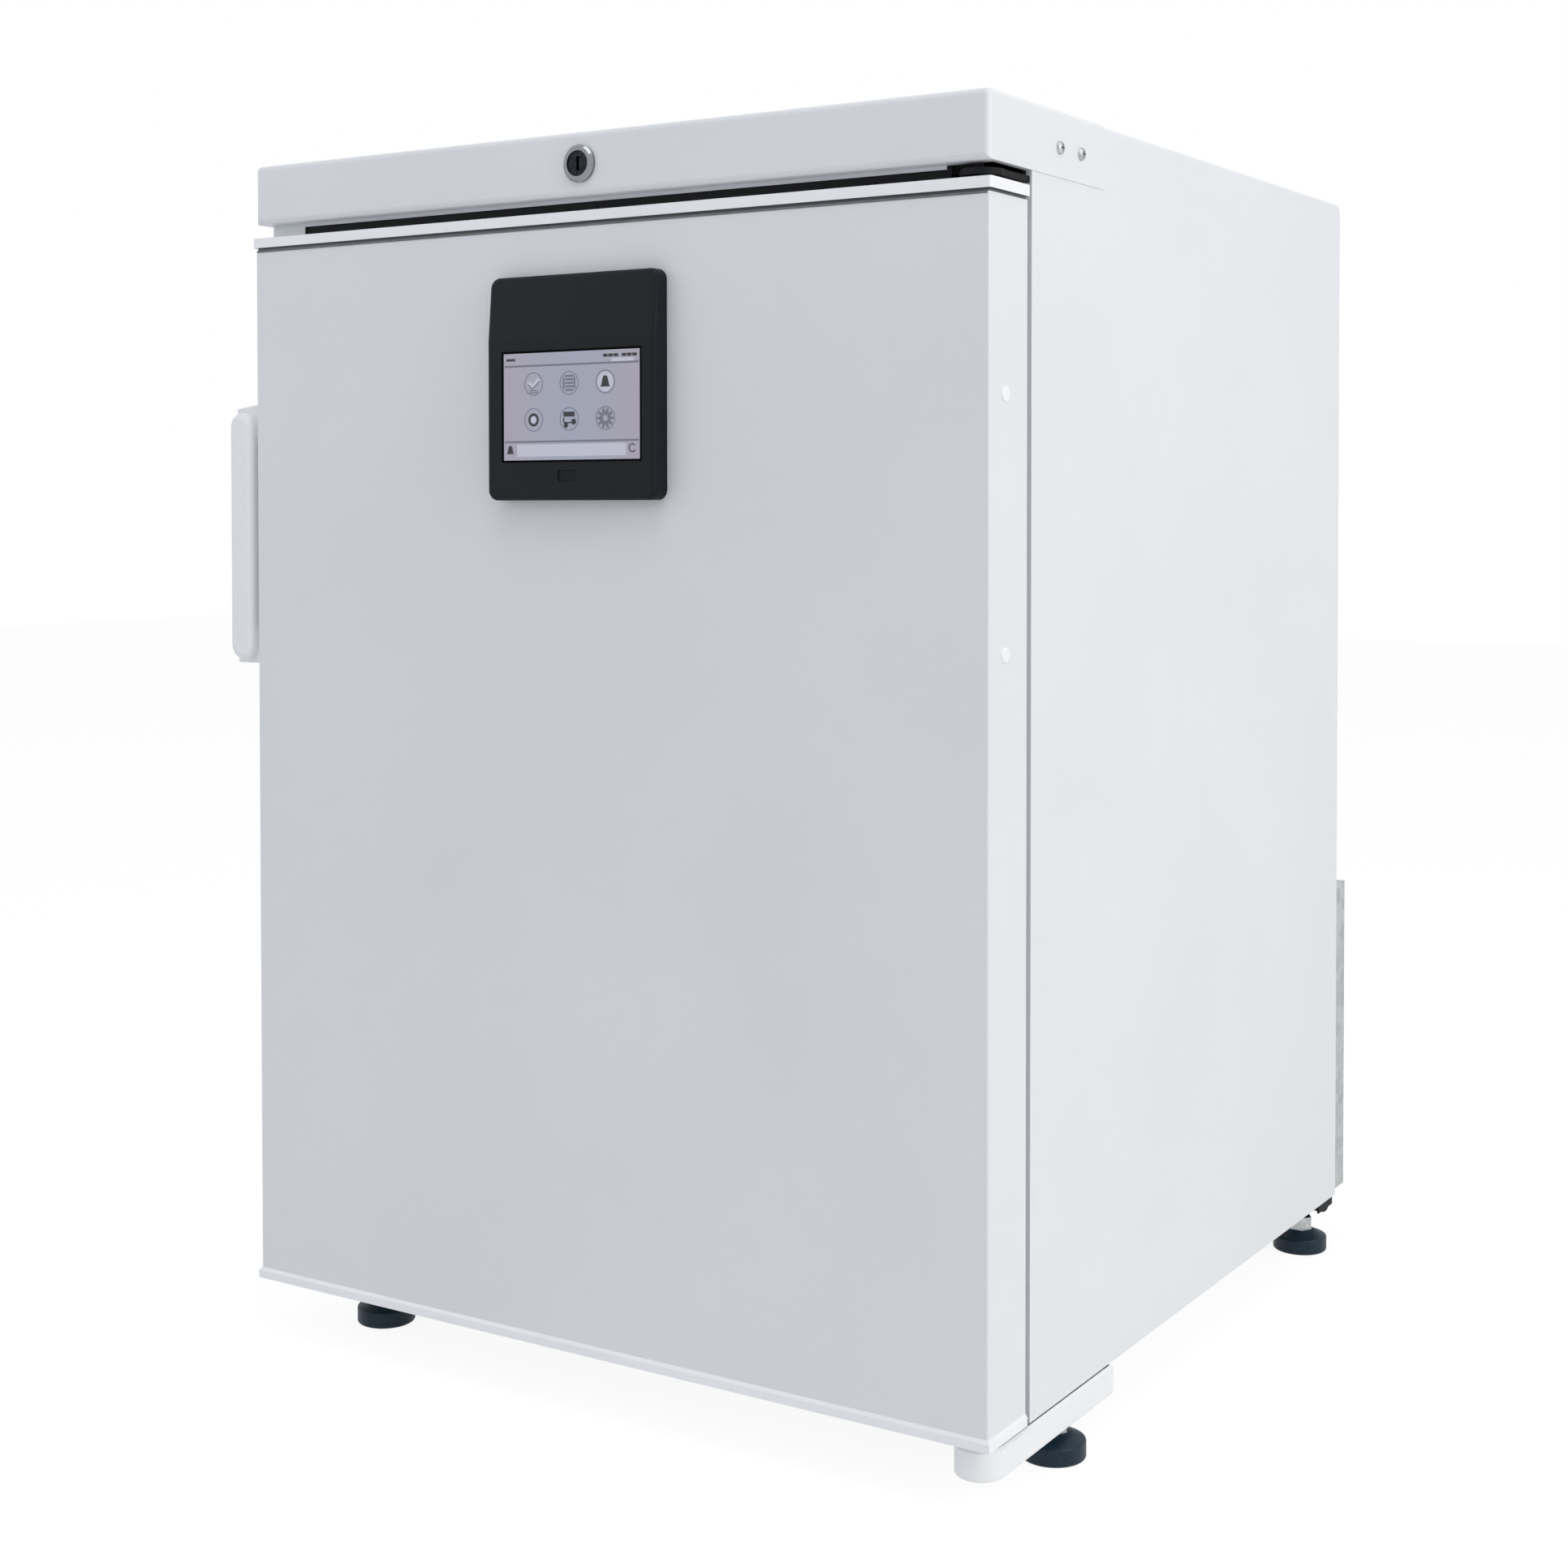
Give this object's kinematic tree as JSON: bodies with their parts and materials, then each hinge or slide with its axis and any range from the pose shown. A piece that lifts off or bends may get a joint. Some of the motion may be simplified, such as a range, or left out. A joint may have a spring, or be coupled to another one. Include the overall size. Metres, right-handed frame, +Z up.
{
  "type": "medical refrigerator",
  "caption": "White under-counter medical refrigerator with a right-hung solid door, side handle, front display unit, keyed lock and levelling feet.",
  "frame": {"origin": "centre of the whole outline's footprint, on the floor under the feet", "axes": "+Z up, -Y towards the door and its front, +X towards the hinge side"},
  "size_m": [0.6384, 0.665, 0.86],
  "materials": {
    "white_steel": "white powder coat, fine texture",
    "galvanised_steel": "galvanised sheet",
    "insulation": "rigid polyurethane foam",
    "white_plastic": "white moulded plastic, satin",
    "grey_plastic": "grey extruded plastic",
    "black_plastic": "black moulded plastic",
    "black_steel": "black powder coat",
    "gasket_rubber": "soft grey magnetic profile",
    "black_rubber": "black rubber",
    "zinc_steel": "bright zinc plate",
    "chrome": "polished chrome",
    "dark_metal": "dark burnished metal",
    "charcoal_plastic": "charcoal moulded plastic, satin gloss",
    "display_glass": "backlit display behind a clear window",
    "foot_plastic": "dark moulded foot",
    "copper": "copper pipe",
    "fin_aluminium": "plain aluminium fins",
    "compressor_black": "black enamel",
    "bush_plastic": "acetal bush"
  },
  "bodies": {
    "cabinet": {"outer_shell": "white_steel", "rear_panel": "galvanised_steel", "base_panel": "galvanised_steel", "cabinet_foam": "insulation", "inner_liner": "white_plastic", "front_frame": "white_steel", "top_cap": "white_steel", "cap_screws": "zinc_steel", "top_rail": "black_plastic", "lock_housing": "chrome", "upper_hinge_bracket": "black_steel", "lower_hinge_bracket": "zinc_steel", "hinge_screws": "zinc_steel", "hinge_cover": "white_plastic", "foot_inserts": "zinc_steel", "compressor_tray": "galvanised_steel", "compressor": "compressor_black", "compressor_mounts": "black_rubber", "drip_tray": "black_plastic", "condenser": "fin_aluminium", "refrigerant_pipes": "copper", "rear_cover": "galvanised_steel", "cover_screws": "zinc_steel", "rear_spacers": "black_plastic", "mains_inlet": "black_plastic", "evaporator": "fin_aluminium", "evaporator_cover": "white_plastic", "fan_motor": "black_plastic", "shelf_rails": "galvanised_steel", "roller_brackets": "galvanised_steel"},
    "door": {"door_skin": "white_steel", "door_foam": "insulation", "door_liner": "white_plastic", "door_gasket": "gasket_rubber", "door_top_trim": "grey_plastic", "door_bottom_trim": "grey_plastic", "hinge_bushes": "bush_plastic", "handle_body": "white_plastic", "handle_cover": "white_plastic", "handle_screws": "zinc_steel", "hole_plugs": "white_plastic", "display_housing": "charcoal_plastic", "display_screen": "display_glass", "port_cover": "black_plastic"},
    "lock": {"lock_barrel": "dark_metal", "lock_cam": "zinc_steel"},
    "fan": {"fan_rotor": "black_plastic"},
    "roller_l": {"roller_left": "black_plastic"},
    "roller_r": {"roller_right": "black_plastic"},
    "shelf_1_body": {"shelf_1": "white_steel"},
    "shelf_2_body": {"shelf_2": "white_steel"},
    "shelf_3_body": {"shelf_3": "white_steel"},
    "foot_front_left": {"foot_pad_front_left": "foot_plastic", "foot_stem_front_left": "zinc_steel"},
    "foot_front_right": {"foot_pad_front_right": "foot_plastic", "foot_stem_front_right": "zinc_steel"},
    "foot_rear_left": {"foot_pad_rear_left": "foot_plastic", "foot_stem_rear_left": "zinc_steel"},
    "foot_rear_right": {"foot_pad_rear_right": "foot_plastic", "foot_stem_rear_right": "zinc_steel"}
  },
  "joints": [
    {"name": "door_hinge", "type": "hinge", "parent": "cabinet", "child": "door", "pos_m": [0.29575, -0.2995, 0.426], "axis": [0, 0, 1], "range_deg": [0, 115]},
    {"name": "lock_turn", "type": "hinge", "parent": "cabinet", "child": "lock", "pos_m": [0.00725, -0.2975, 0.8385], "axis": [0, 1, 0], "range_deg": [0, 90]},
    {"name": "fan_spin", "type": "hinge", "parent": "cabinet", "child": "fan", "pos_m": [0.01075, 0.2155, 0.681], "axis": [0, 1, 0], "continuous": true},
    {"name": "roller_l_spin", "type": "hinge", "parent": "cabinet", "child": "roller_l", "pos_m": [-0.26725, 0.3205, 0.035], "axis": [1, 0, 0], "continuous": true},
    {"name": "roller_r_spin", "type": "hinge", "parent": "cabinet", "child": "roller_r", "pos_m": [0.28875, 0.3205, 0.035], "axis": [1, 0, 0], "continuous": true},
    {"name": "shelf_1_slide", "type": "slide", "parent": "cabinet", "child": "shelf_1_body", "axis": [0, -1, 0], "range_m": [0, 0.024]},
    {"name": "shelf_2_slide", "type": "slide", "parent": "cabinet", "child": "shelf_2_body", "axis": [0, -1, 0], "range_m": [0, 0.024]},
    {"name": "shelf_3_slide", "type": "slide", "parent": "cabinet", "child": "shelf_3_body", "axis": [0, -1, 0], "range_m": [0, 0.024]},
    {"name": "foot_front_left_height", "type": "slide", "parent": "cabinet", "child": "foot_front_left", "axis": [0, 0, -1], "range_m": [0, 0.015]},
    {"name": "foot_front_right_height", "type": "slide", "parent": "cabinet", "child": "foot_front_right", "axis": [0, 0, -1], "range_m": [0, 0.015]},
    {"name": "foot_rear_left_height", "type": "slide", "parent": "cabinet", "child": "foot_rear_left", "axis": [0, 0, -1], "range_m": [0, 0.015]},
    {"name": "foot_rear_right_height", "type": "slide", "parent": "cabinet", "child": "foot_rear_right", "axis": [0, 0, -1], "range_m": [0, 0.015]}
  ]
}
